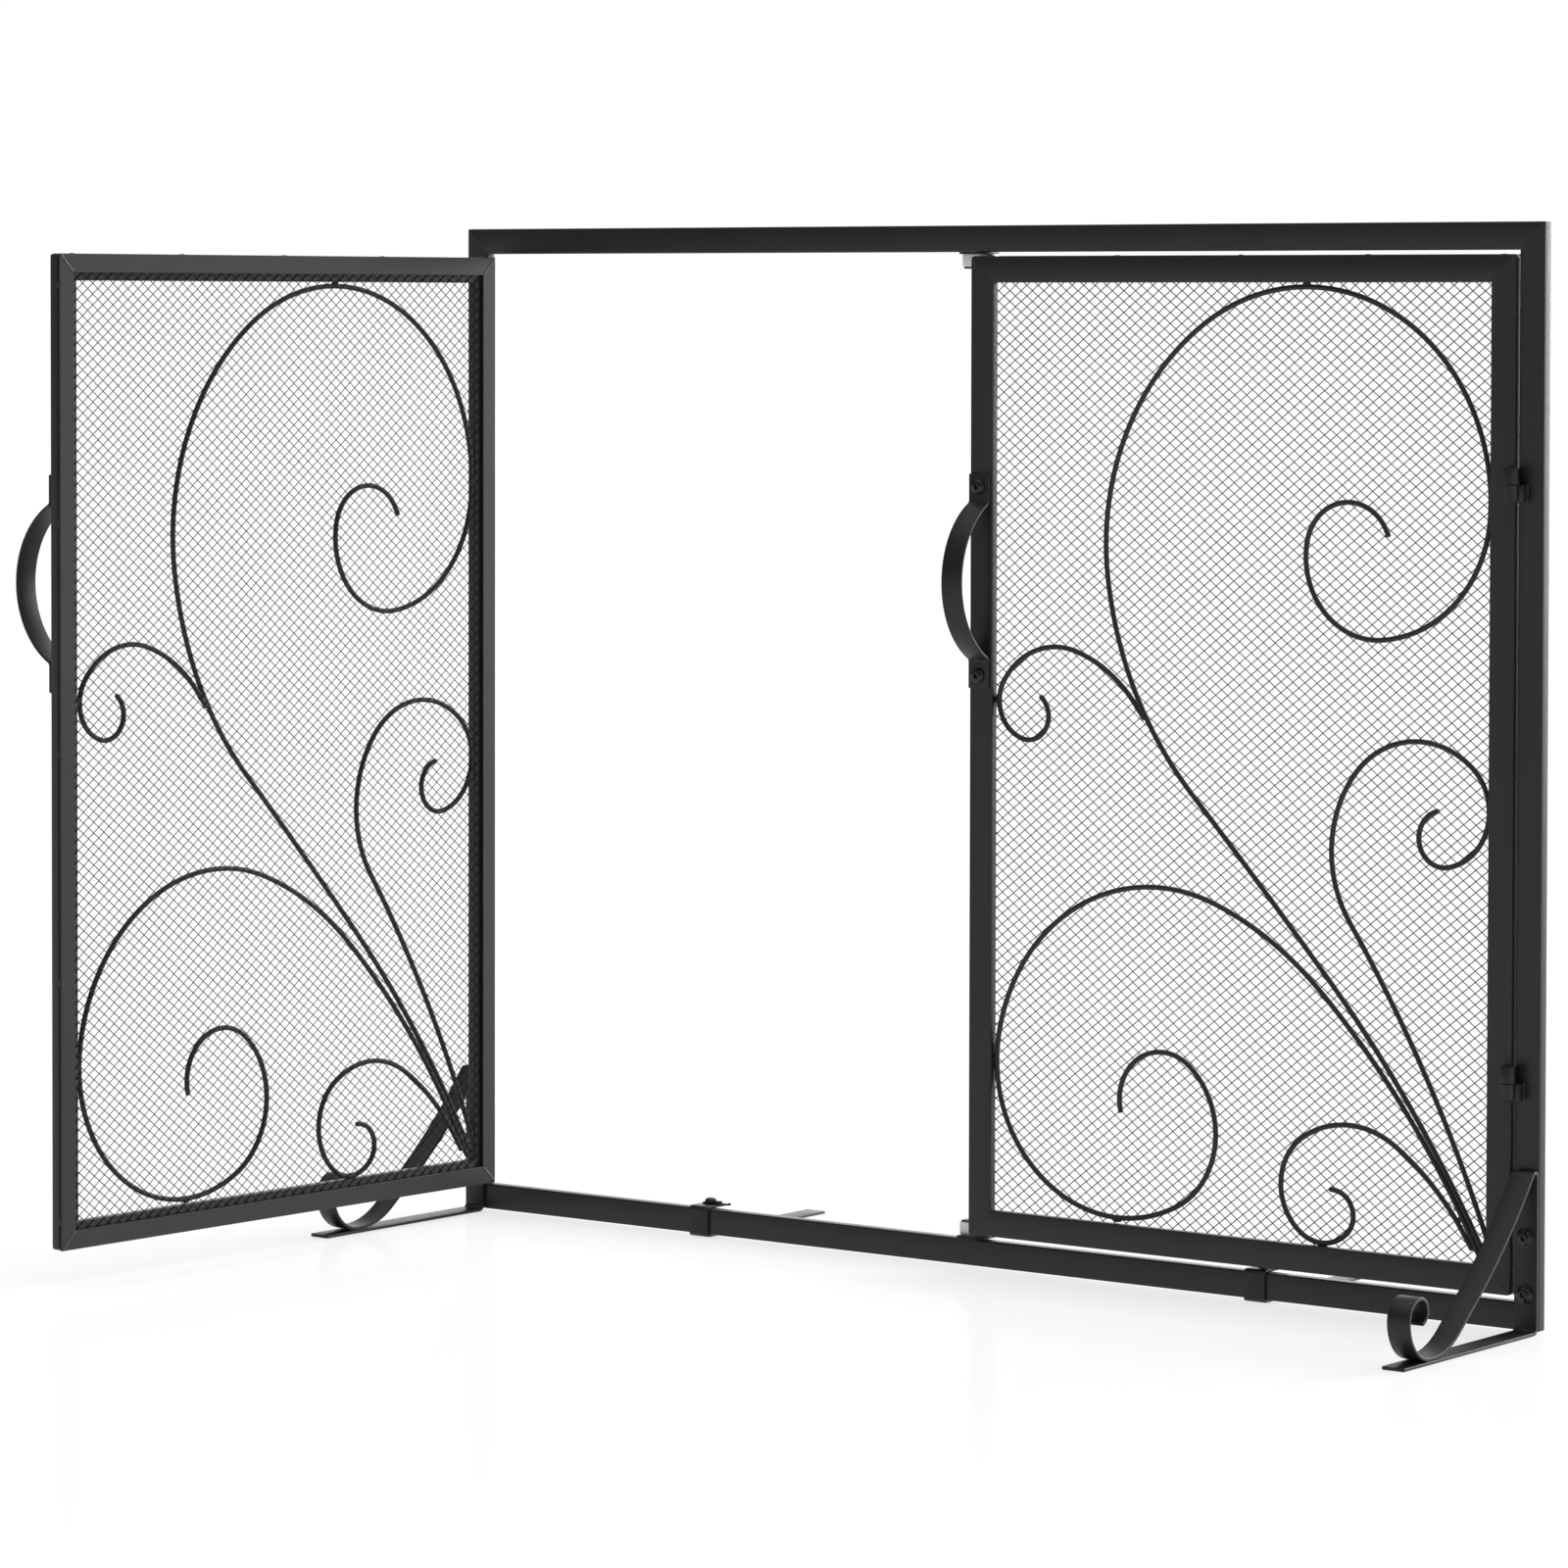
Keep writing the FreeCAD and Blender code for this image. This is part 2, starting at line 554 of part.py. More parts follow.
for side, name in SIDES:
    door = f"{name}_door"
    open_door = side < 0
    middle = "(door_face + door_depth / 2)"

    stile = mitred_tube(f"{door}_hinge_stile", "door_height", "door_depth", side)
    put(stile, f"{side} * (door_outer - tube_width / 2)", middle, "door_bottom", swings=open_door)
    bolt_line = f"{side} * (handle_out - door_inner - tube_width / 2)"
    holes = [(bolt_line, f"handle_mid - door_bottom - {BOLT_SPREAD}"),
             (bolt_line, f"handle_mid - door_bottom + {BOLT_SPREAD}")]
    stile = mitred_tube(f"{door}_free_stile", "door_height", "door_depth", -side, holes)
    put(stile, f"{side} * (door_inner + tube_width / 2)", middle, "door_bottom", swings=open_door)
    near_edge = "door_inner" if side > 0 else "-door_outer"
    rail = mitred_tube(f"{door}_top_rail", "door_width", "door_depth")
    put(rail, near_edge, middle, "door_top - tube_width / 2", ("1; 0; 1", 180), open_door)
    rail = mitred_tube(f"{door}_bottom_rail", "door_width", "door_depth")
    put(rail, near_edge, middle, "door_bottom + tube_width / 2", ("0; 1; 0", 90), open_door)

    put(mesh_panel(f"{door}_mesh", side), 0, 0, 0, swings=open_door)

    retainer = new_body(f"{door}_mesh_retainer")
    sketch = sketch_on(retainer, "XZ_Plane")
    outline(sketch, box("0", "0", "door_width", "door_height"))
    outline(sketch, box("retainer_width", "retainer_width", "door_width - retainer_width",
                        "door_height - retainer_width"))
    pad(retainer, sketch, "retainer_thickness")
    put(retainer, near_edge, "door_rear + mesh_depth + retainer_thickness", "door_bottom",
        swings=open_door)

    for scroll, (start, arcs) in SCROLLS.items():
        steps = [(f"{scroll}_{ordinal}_radius", f"{side} * {scroll}_{ordinal}_sweep")
                 for ordinal, arc in zip(ORDINALS, arcs)]
        rod = bent(f"{door}_{scroll}_scroll", steps)
        heading = f"{scroll}_heading" if side > 0 else f"(180 - {scroll}_heading)"
        put(rod, f"{side} * {scroll}_start_x", "door_rear - rod_diameter / 2", f"{scroll}_start_z",
            ("0; 1; 0", f"-{heading}"), open_door)

    handle = bent(f"{door}_handle", HANDLE_PATH, "handle_width", "handle_thickness")
    drill = sketch_on(handle, "XY_Plane", "handle_thickness / 2")
    for x in ("handle_tab / 2", "handle_tab * 1.5 + handle_span"):
        circle(drill, x, "0", "bolt_diameter")
    pocket(handle, drill, "handle_thickness")
    put(handle, f"{side} * handle_out", "door_face - handle_thickness / 2",
        "handle_mid - handle_span / 2 - handle_tab", ("1; -1; 1", 120), open_door)
    for place, up in (("lower", -1), ("upper", 1)):
        bolt = button_bolt(f"{door}_handle_{place}_bolt", "head_diameter", "head_height",
                           "handle_thickness + wall")
        put(bolt, f"{side} * handle_out", "door_face - handle_thickness",
            f"handle_mid + {up} * {BOLT_SPREAD}", ("1; 0; 0", 90), open_door)

doc.recompute()

problems = []
for item in doc.Objects:
    if "Invalid" in item.State or "Error" in item.State:
        problems.append(f"{item.Name}: {item.State}")
for piece in pieces:
    if piece.Shape.isNull() or not piece.Shape.isValid():
        problems.append(f"{piece.Label}: shape")
if problems:
    raise RuntimeError("; ".join(problems))

os.makedirs("parts", exist_ok=True)
for piece in pieces:
    piece.Shape.exportStep(f"parts/{piece.Label}.step")
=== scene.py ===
import math

import bmesh
import bpy
from mathutils import Matrix, Vector, noise


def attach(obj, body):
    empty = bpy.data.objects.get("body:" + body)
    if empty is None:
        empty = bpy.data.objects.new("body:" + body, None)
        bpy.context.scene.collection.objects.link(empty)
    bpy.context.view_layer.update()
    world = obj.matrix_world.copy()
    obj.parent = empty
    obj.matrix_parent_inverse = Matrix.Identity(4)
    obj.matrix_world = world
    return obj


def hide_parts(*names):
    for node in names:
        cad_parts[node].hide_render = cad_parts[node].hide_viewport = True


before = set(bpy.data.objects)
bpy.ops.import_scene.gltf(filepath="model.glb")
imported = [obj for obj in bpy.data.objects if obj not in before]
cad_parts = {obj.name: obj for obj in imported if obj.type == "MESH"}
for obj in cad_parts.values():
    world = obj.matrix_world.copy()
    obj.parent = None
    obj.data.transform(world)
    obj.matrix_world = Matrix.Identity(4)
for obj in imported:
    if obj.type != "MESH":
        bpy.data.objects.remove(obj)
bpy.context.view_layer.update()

# Fireplace screen. Shapes are drawn in millimetres in the row frame. Door pieces are drawn on the
# closed right door; the left door is its mirror image, swung open about the left hinge axis.

MM = 0.001
Y = Vector((0, 1, 0))
UNMOVED = Matrix.Identity(4)
MIRROR = Matrix.Diagonal((-1, 1, 1, 1))


def at(x, y, z):
    return Matrix.Translation((x, y, z))


def turned(angle, axis):
    return Matrix.Rotation(math.radians(angle), 4, axis)


# ---- driving sizes ----
WIDTH, HEIGHT, FLOOR_GAP = 980, 787, 2
TUBE_WIDTH, TUBE_DEPTH, DOOR_DEPTH = 20, 10, 8
STRAP_WIDTH, STRAP_THICK, CLIP_THICK = 18, 2.5, 2
BOLT_WIDTH, BOLT_HEIGHT = 11.5, 3.3
ROD_RADIUS = 2.0

# outline of the closed right door
LEFT, RIGHT, LOW, HIGH = 1.5, 468.5, 26.0, 764.0

AXIS_X, AXIS_Y, OPEN_ANGLE = 469.25, -13.5, 94
TO_AXIS = at(-AXIS_X, AXIS_Y, 0)
SWING = TO_AXIS @ turned(-OPEN_ANGLE, "Z") @ TO_AXIS.inverted()

# For each side: its name, then the moves of a right-hand frame piece and of a closed right-door piece.
SIDES = (("left", MIRROR, SWING @ MIRROR), ("right", UNMOVED, UNMOVED))

# Each scroll rod: start x, z and heading in degrees, then its arcs as (radius, sweep in degrees).
SCROLLS = {
    "main": ((443.81, 53.91, 118.16), ((970, 13.37), (5129, 1.95), (281.4, -36.68), (197.1, -61.77),
                                       (153.8, -128.14), (97, -82.38), (58.9, -105.66),
                                       (35.3, -150.68))),
    "side": ((146.31, 432.69, 127.4), ((108.1, 34.26), (56.1, 75.86), (29.3, 105.29),
                                       (18.4, 161.38))),
    "upper": ((445.86, 65.67, 111.21), ((1072, 13.09), (91.8, -72.25), (66.7, -93.54),
                                        (41.8, -125.93), (20.4, -182.11))),
    "lower": ((440.77, 50.45, 117.13), ((691, 18.82), (262.4, 23.23), (143, 102.84), (109.5, 126.4),
                                        (63.2, 112.33), (37.5, 145.24))),
    "small": ((429.38, 63.17, 122.17), ((202.8, 24.3), (68.7, 67.33), (42.9, 109.31), (29.8, 81.7),
                                        (18.1, 141.72))),
}

# How far each rod's start is carried back to its weld.
TAILS = {"main": 1, "side": 14, "upper": 7, "lower": 1, "small": 10}


# ---- materials ----
def node(tree, kind, **settings):
    made = tree.nodes.new(kind)
    for name, value in settings.items():
        if hasattr(made, name):
            setattr(made, name, value)
        else:
            made.inputs[name.replace("_", " ")].default_value = value
    return made


def ramp(tree, source, low, high, to_low, to_high):
    """Map Range node that carries a source from low..high to to_low..to_high."""
    made = tree.nodes.new("ShaderNodeMapRange")
    for name, value in (("From Min", low), ("From Max", high), ("To Min", to_low), ("To Max", to_high)):
        made.inputs[name].default_value = value
    tree.links.new(source, made.inputs["Value"])
    return made


def coat(name, colour, roughness, grain=900.0, bump=0.12, spread=0.06, metallic=0.0, dust=0.25,
         specular=0.42):
    """Powder coat: fine orange peel, uneven gloss and a trace of paler dust."""
    material = bpy.data.materials.new(name)
    material.use_nodes = True
    tree = material.node_tree
    link = tree.links.new
    shader = tree.nodes["Principled BSDF"]
    shader.inputs["Metallic"].default_value = metallic
    shader.inputs["IOR"].default_value = 1.5
    shader.inputs["Specular IOR Level"].default_value = specular
    where = node(tree, "ShaderNodeTexCoord")
    cloudy = node(tree, "ShaderNodeTexNoise", Scale=14.0, Detail=5.0, Roughness=0.6)
    speck = node(tree, "ShaderNodeTexNoise", Scale=grain * 0.6, Detail=2.0)
    peel = node(tree, "ShaderNodeTexNoise", Scale=grain, Detail=3.0, Roughness=0.55)
    for texture in (cloudy, speck, peel):
        link(where.outputs["Object"], texture.inputs["Vector"])
    dusty = [c * 2.1 + 0.004 for c in colour]
    mixed = node(tree, "ShaderNodeMix", data_type="RGBA", A=(*colour, 1), B=(*dusty, 1))
    tone = ramp(tree, cloudy.outputs["Fac"], 0.35, 0.72, 0.0, dust)
    link(tone.outputs["Result"], mixed.inputs["Factor"])
    link(mixed.outputs["Result"], shader.inputs["Base Color"])
    gloss = ramp(tree, speck.outputs["Fac"], 0.3, 0.7, roughness - spread, roughness + spread)
    link(gloss.outputs["Result"], shader.inputs["Roughness"])
    height = node(tree, "ShaderNodeBump", Strength=bump, Distance=0.0003)
    link(peel.outputs["Fac"], height.inputs["Height"])
    link(height.outputs["Normal"], shader.inputs["Normal"])
    return material


TUBE = coat("powder_coat_tube", (0.0112, 0.0102, 0.0106), 0.41)
STRAP = coat("powder_coat_strap", (0.0115, 0.0108, 0.0112), 0.43, bump=0.16, specular=0.35)
ROD = coat("powder_coat_rod", (0.009, 0.009, 0.0095), 0.45, bump=0.2)
WIRE = coat("coated_wire", (0.0045, 0.0045, 0.005), 0.5, bump=0.1, specular=0.14)
BOLT = coat("black_oxide", (0.008, 0.0076, 0.008), 0.24, grain=1500.0, bump=0.06, spread=0.03)
WELD = coat("coated_weld", (0.010, 0.010, 0.011), 0.42, grain=700.0, bump=0.45)
SEAM = coat("dressed_weld", (0.03, 0.029, 0.03), 0.36, grain=500.0, bump=0.5, dust=0.6)
MAGNET = coat("nickel_plate", (0.9, 0.89, 0.87), 0.35, bump=0.04, metallic=0.15, dust=0.0)


# ---- shapes ----
class Shape:
    """Vertices and faces of one piece, in millimetres."""

    def __init__(self):
        self.verts = []
        self.faces = []

    def add(self, verts, faces, place=UNMOVED):
        start = len(self.verts)
        self.verts += [place @ Vector(v) for v in verts]
        self.faces += [tuple(start + i for i in face) for face in faces]
        return self


def rounded(width, depth, radius, steps):
    """Rounded rectangle as (u, v) points."""
    points = []
    for k, (cu, cv) in enumerate(((1, 1), (-1, 1), (-1, -1), (1, -1))):
        for i in range(steps + 1):
            angle = math.radians(90 * k + 90 * i / steps)
            points.append((cu * (width / 2 - radius) + radius * math.cos(angle),
                           cv * (depth / 2 - radius) + radius * math.sin(angle)))
    return points


def disc(radius, count=14):
    return [(radius * math.cos(2 * math.pi * i / count), radius * math.sin(2 * math.pi * i / count))
            for i in range(count)]


def ring_faces(rings, count):
    """Faces that join rings of count points each, with a cap on either end."""
    faces = []
    for i in range(rings - 1):
        for j in range(count):
            k = (j + 1) % count
            faces.append((i * count + j, i * count + k, (i + 1) * count + k, (i + 1) * count + j))
    faces.append(tuple(range(count)))
    faces.append(tuple((rings - 1) * count + j for j in range(count)))
    return faces


def chain(steps, heading=0.0, start=(0, 0), step=4.0, turn=6.0):
    """Points and tangents of lines (length,) and arcs (radius, sweep), in a plane."""
    a, b = start
    heading = math.radians(heading)
    points = [(a, b)]
    tangents = [heading]
    for part in steps:
        if len(part) == 1:
            count = max(1, round(part[0] / (step * 5)))
            for _ in range(count):
                a += part[0] / count * math.cos(heading)
                b += part[0] / count * math.sin(heading)
                points.append((a, b))
                tangents.append(heading)
            continue
        radius, sweep = part[0], math.radians(part[1])
        count = max(2, round(abs(part[1]) / turn), round(radius * abs(sweep) / (step * 3)))
        for _ in range(count):
            chord = 2 * radius * math.sin(abs(sweep) / count / 2)
            a += chord * math.cos(heading + sweep / count / 2)
            b += chord * math.sin(heading + sweep / count / 2)
            heading += sweep / count
            points.append((a, b))
            tangents.append(heading)
    return points, tangents


def sweep(points, tangents, section, scales):
    """Section carried along a path in the xz plane; u runs along y and v across the path."""
    verts = []
    for (a, b), heading, size in zip(points, tangents, scales):
        across = Vector((-math.sin(heading), 0, math.cos(heading)))
        for u, v in section:
            verts.append(Vector((a, 0, b)) + Y * (u * size) + across * (v * size))
    return verts, ring_faces(len(points), len(section))


# Rings of a rounded bar end: depth from the tip, as a share of the half thickness, and size.
END_ROUNDING = ((0.0, 0.62), (0.12, 0.84), (0.34, 0.96), (0.7, 1.0))


def softened(points, tangents, radius):
    """Path with extra rings that round both ends of a bar of that half thickness."""
    scales = [1.0] * len(points)
    for end in (0, -1):
        (a, b), heading = points[end], tangents[end]
        way = 1 if end == 0 else -1
        rings = []
        for depth, size in END_ROUNDING:
            reach = way * depth * radius
            rings.append(((a + reach * math.cos(heading), b + reach * math.sin(heading)), size))
        level = [heading] * len(rings)
        if end == 0:
            points = [p for p, _ in rings] + points[1:]
            tangents = level + tangents[1:]
            scales = [s for _, s in rings] + scales[1:]
        else:
            points = points[:-1] + [p for p, _ in rings[::-1]]
            tangents = tangents[:-1] + level
            scales = scales[:-1] + [s for _, s in rings[::-1]]
    return points, tangents, scales


def bent_strap(steps, thickness, edge, turn):
    """Strap of the common width, bent along a chain of lines and arcs."""
    path, headings, sizes = softened(*chain(steps, turn=turn), thickness / 2)
    return Shape().add(*sweep(path, headings, rounded(STRAP_WIDTH, thickness, edge, 2), sizes))


def lathe(profile, count=32):
    """Profile of (radius, z) points turned about z."""
    verts = []
    for radius, z in profile:
        for x, y in disc(max(radius, 0.001), count):
            verts.append((x, y, z))
    return verts, ring_faces(len(profile), count)


def drawn(form, bevel=0.0):
    """Vertices and faces of a bmesh, with its edges bevelled first."""
    if bevel:
        bmesh.ops.bevel(form, geom=form.edges[:], offset=bevel, segments=2, profile=0.6,
                        affect="EDGES")
    form.verts.index_update()
    verts = [v.co.copy() for v in form.verts]
    faces = [tuple(v.index for v in face.verts) for face in form.faces]
    form.free()
    return verts, faces


def slab(low, high, bevel):
    """Block with bevelled edges."""
    low, high = Vector(low), Vector(high)
    form = bmesh.new()
    bmesh.ops.create_cube(form, size=1.0)
    for v in form.verts:
        v.co = Vector([(low[i] + high[i]) / 2 + v.co[i] * (high[i] - low[i]) for i in range(3)])
    return drawn(form, bevel)


def folded_sheet(outline, width, bevel):
    """Outline of (y, z) points drawn out along x, with bevelled edges."""
    form = bmesh.new()
    made = [form.verts.new((x, y, z)) for x in (-width / 2, width / 2) for y, z in outline]
    count = len(outline)
    for j in range(count):
        k = (j + 1) % count
        form.faces.new([made[i] for i in (j, k, count + k, count + j)])
    form.faces.new(made[:count])
    form.faces.new(made[count:])
    return drawn(form, bevel)


LUMPS_ACROSS = 1.6
SEED_SHIFT = (7.3, 3.1)


def bead(radius, stretch, seed, rough):
    """Small weld: a ball made lumpy by noise, then stretched."""
    form = bmesh.new()
    bmesh.ops.create_icosphere(form, subdivisions=3, radius=radius)
    for v in form.verts:
        shift = Vector((seed * SEED_SHIFT[0], seed * SEED_SHIFT[1], 0))
        lump = noise.noise(v.co * (LUMPS_ACROSS / radius) + shift)
        v.co *= 1 + rough * lump
        v.co = Vector([v.co[i] * stretch[i] for i in range(3)])
    return drawn(form)


def piece(name, shape, material, body, replaces, place=UNMOVED, sharp=32):
    form = bmesh.new()
    verts = [form.verts.new((place @ v) * MM) for v in shape.verts]
    for face in shape.faces:
        form.faces.new([verts[i] for i in face])
    bmesh.ops.recalc_face_normals(form, faces=form.faces[:])
    mesh = bpy.data.meshes.new(name)
    form.to_mesh(mesh)
    form.free()
    mesh.materials.append(material)
    mesh.shade_smooth()
    mesh.set_sharp_from_angle(angle=math.radians(sharp))
    obj = bpy.data.objects.new(name, mesh)
    bpy.context.scene.collection.objects.link(obj)
    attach(obj, body)
    if replaces:
        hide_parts(*replaces)
    return obj


# ---- tubes ----
MITRE = 45
RING_GAP = 0.02


def mitred_tube(width, depth, length, corner=1.0, radius=1.3):
    """Tube along z, its outer side at +x; both ends are mitred and their outer corners ground round."""
    section = rounded(width, depth, radius, 4)
    rings = []
    for angle in (MITRE, 30, 15, 0):
        ground = corner * (1 - math.cos(math.radians(angle)))
        along = corner * (1 - math.sin(math.radians(angle)))
        ring = []
        for u, v in section:
            back = width / 2 - u
            if back < radius:
                ring.append((u - ground, v, along + back))
            else:
                ring.append((u, v, back + (MITRE - angle) * RING_GAP))
        rings.append(ring)
    rings += [[(u, v, length - z) for u, v, z in ring] for ring in rings[::-1]]
    return Shape().add([v for ring in rings for v in ring], ring_faces(len(rings), len(section)))


RIDGE_WIDTH, RIDGE_HEIGHT, RIDGE_EDGE, RIDGE_END = 1.1, 0.18, 0.08, 1.5


def mitre_welds(width, depth, length):
    """Dressed weld ridges along both mitres of a tube, on its front and its back."""
    shape = Shape()
    diagonal = (width - 2.0) * math.sqrt(2)
    for end, lean in ((width / 2, 180 - MITRE), (length - width / 2, MITRE)):
        for face in (-1, 1):
            path, headings, sizes = softened(*chain([(diagonal,)], step=0.4), RIDGE_END)
            ridge = sweep([(a - diagonal / 2, b) for a, b in path], headings,
                          rounded(RIDGE_HEIGHT, RIDGE_WIDTH, RIDGE_EDGE, 2), sizes)
            shape.add(*ridge, at(0, face * depth / 2, end) @ turned(-lean, "Y"))
    return shape


# These lay an upright tube down along x, with its outer side up or down.
LIE_TOP = turned(180, Vector((1, 0, 1)))
LIE_BOTTOM = turned(90, "Y")
HALF_TURN = turned(180, "Z")


def frame_rail(name, height, lie):
    place = at(-WIDTH / 2, 0, height) @ lie
    piece(f"{name}_tube", mitred_tube(TUBE_WIDTH, TUBE_DEPTH, WIDTH), TUBE, "frame", [name],
          place)
    piece(f"{name}_welds", mitre_welds(TUBE_WIDTH, TUBE_DEPTH, WIDTH), WELD, "frame", [],
          place)


frame_rail("frame_top_rail", HEIGHT - TUBE_WIDTH / 2, LIE_TOP)
frame_rail("frame_bottom_rail", FLOOR_GAP + TUBE_WIDTH / 2, LIE_BOTTOM)
for side, mirror, _ in SIDES:
    piece(f"frame_{side}_stile_tube", mitred_tube(TUBE_WIDTH, TUBE_DEPTH, HEIGHT - FLOOR_GAP), TUBE,
          "frame", [f"frame_{side}_stile"],
          mirror @ at(WIDTH / 2 - TUBE_WIDTH / 2, 0, FLOOR_GAP))


# ---- bolts ----
def button_head(diameter, height, flange=0.0, flange_height=0.0, across=4.0, depth=2.0):
    """Domed head with a hexagon socket; its seat is z = 0."""
    count = 48
    dome_steps = 6
    radius = diameter / 2
    if flange:
        profile = [(flange / 2 - 0.25, 0), (flange / 2, 0.25), (flange / 2, flange_height * 0.7),
                   (flange / 2 - 0.5, flange_height), (radius + 0.25, flange_height + 0.1)]
    else:
        profile = [(radius - 0.15, 0), (radius, 0.2)]
    top = flange_height + height
    rim = across / 2 / math.cos(math.radians(30)) + 0.45
    base = flange_height + (0.35 if flange else 0.55)
    for i in range(dome_steps + 1):
        angle = math.radians(90 * i / dome_steps)
        profile.append((rim + (radius - rim) * math.cos(angle), base + (top - base) * math.sin(angle)))
    verts = []
    for r, z in profile:
        verts += [(x, y, z) for x, y in disc(r, count)]
    socket = ((1.0, top - 0.02), (0.93, top - 0.2), (0.92, top - depth), (0.3, top - depth - 0.3))
    for scale, z in socket:
        for i in range(count):
            angle = 2 * math.pi * i / count
            from_flat = (angle + math.pi / 6) % (math.pi / 3) - math.pi / 6
            reach = across / 2 / math.cos(from_flat) * scale
            verts.append((reach * math.cos(angle), reach * math.sin(angle), z))
    return Shape().add(verts, ring_faces(len(profile) + len(socket), count))


FACE_FRONT = turned(90, "X")

# ---- end feet ----
FOOT_X, FOOT_REACH, TOE_ANGLE = 481, 190, 1.9
FLANGE_WIDTH, FLANGE_HEIGHT = 14, 1.2
FOOT_BEND = 4
FOOT_LEG = FOOT_REACH - TUBE_DEPTH / 2 - STRAP_THICK / 2

# floor strip, bend, run up the stile and fold at its top; then the brace and its scroll
FOOT_STEPS = ((FOOT_LEG - FOOT_BEND,), (FOOT_BEND, 90), (107,), (3.25, 142),
              (458, -14), (30.9,), (58, -38), (2.8,), (28.2, -90), (15, -90), (9.5, -90), (8.5, -80))

# The left foot is toed out about the middle of its leg, and set off the stile by its strap's corner.
AT_LEG = at(-FOOT_X, -(TUBE_DEPTH + STRAP_THICK) / 2, 0)
OFF_STILE = STRAP_WIDTH / 2 * math.sin(math.radians(TOE_ANGLE))
TOED = {"left": at(0, -OFF_STILE, 0) @ AT_LEG @ turned(-TOE_ANGLE, "Z") @ AT_LEG.inverted(),
        "right": UNMOVED}
BOLT_SEAT = {"left": -8.03, "right": -TUBE_DEPTH / 2 - STRAP_THICK}

# each foot bolt: its place and height, and how far its socket is turned
FOOT_BOLTS = (("low", 28.4, 17), ("high", 68.8, 41))

for side, mirror, _ in SIDES:
    lay = at(FOOT_X, -FOOT_REACH, STRAP_THICK / 2) @ turned(90, "Z")
    piece(f"{side}_foot_strap", bent_strap(FOOT_STEPS, STRAP_THICK, 0.55, 5), STRAP, "frame",
          [f"{side}_foot"], TOED[side] @ mirror @ lay)
    for place, height, socket_turn in FOOT_BOLTS:
        seat = at(FOOT_X, BOLT_SEAT[side], height) @ FACE_FRONT @ turned(socket_turn, "Z")
        piece(f"{side}_foot_{place}_bolt_head",
              button_head(BOLT_WIDTH, BOLT_HEIGHT, FLANGE_WIDTH, FLANGE_HEIGHT), BOLT, "frame",
              [f"{side}_foot_{place}_bolt"], mirror @ seat)

# ---- rear stabilisers ----
CLIP_X, CLIP_REACH = 255, 149
CLIP_STEPS = ((153,), (2, 90), (18,), (2, 90), (21,))
CLAMP_Y, CLAMP_Z = 9.4, 24

# (radius, z) profiles of the clamp bolt
CLAMP_DOME = [(4.2, 1.3), (4.9, 1.5), (5, 1.9), (4.85, 2.7), (4.35, 3.5), (3.5, 4.2), (2.3, 4.65),
              (1.0, 4.85), (0, 4.9)]
CLAMP_PIN = [(2.7, 0.2), (2.9, 0.4), (2.9, 2.2), (2.5, 2.7), (1.1, 2.9), (0, 2.95)]
CLAMP_NECK = [(2.6, -2.2), (3, -2), (3, 0.5), (2.9, 0.6)]
CLAMP_SHANK = [(2.6, -23.2), (3, -22.9), (3, -2.1), (2.9, -2)]


def clamp_bolt():
    """Domed head on a small tab with a pin and a weld, over its shank; the tab's foot is z = 0."""
    shape = Shape()
    shape.add(*lathe(CLAMP_DOME))
    shape.add(*slab((-6.3, -3, 0), (17.5, 3, 1.4), 0.3))
    shape.add(*lathe(CLAMP_PIN, 20), at(7.6, 0, 0))
    shape.add(*bead(1.25, (1, 1.6, 0.9), 3, 0.05), at(18, 0, 0.9))
    shape.add(*lathe(CLAMP_NECK, 20))
    shape.add(*lathe(CLAMP_SHANK, 20))
    return shape


for side, mirror, _ in SIDES:
    lay = at(CLIP_X, CLIP_REACH, CLIP_THICK / 2) @ turned(-90, "Z")
    piece(f"{side}_stabiliser_strap", bent_strap(CLIP_STEPS, CLIP_THICK, 0.45, 9), STRAP, "frame",
          [f"{side}_rear_stabiliser"], mirror @ lay)
    piece(f"{side}_clamp_bolt_form", clamp_bolt(), BOLT, "frame", [f"{side}_clamp_bolt"],
          at(CLIP_X if side == "right" else -CLIP_X, CLAMP_Y, CLAMP_Z))

# ---- magnetic catches ----
CATCH_WIDTH, MAGNET_WIDTH = 25, 28

# sheet folded round the magnet, from the side, as (y, z) points over the rail
CATCH = [(-3, 0), (13.5, 0), (13.5, 12.5), (3.4, 12.5), (3.4, 11), (12, 11), (12, 1.5), (-3, 1.5)]
MAGNET_LOW, MAGNET_HIGH = (-MAGNET_WIDTH / 2, 3.4, 1.5), (MAGNET_WIDTH / 2, 12, 11)

for place, base, up in (("bottom", FLOOR_GAP + TUBE_WIDTH, 1), ("top", HEIGHT - TUBE_WIDTH, -1)):
    seat = at(0, 0, base) @ Matrix.Diagonal((1, 1, up, 1))
    piece(f"{place}_catch_bracket_form", Shape().add(*folded_sheet(CATCH, CATCH_WIDTH, 0.28)), STRAP,
          "frame", [f"{place}_catch_bracket"], seat)
    piece(f"{place}_catch_magnet_form", Shape().add(*slab(MAGNET_LOW, MAGNET_HIGH, 0.5)), MAGNET,
          "frame", [f"{place}_catch_magnet"], seat)

# ---- hinges ----
KNUCKLE, KNUCKLE_GAP = 11.85, 0.3
HINGE_HEIGHTS = (("upper", 589.4), ("lower", 166.0))
WELD_LUMPS, LUMP_STEP, LOWEST_LUMP = 6, 1.95, 1.1


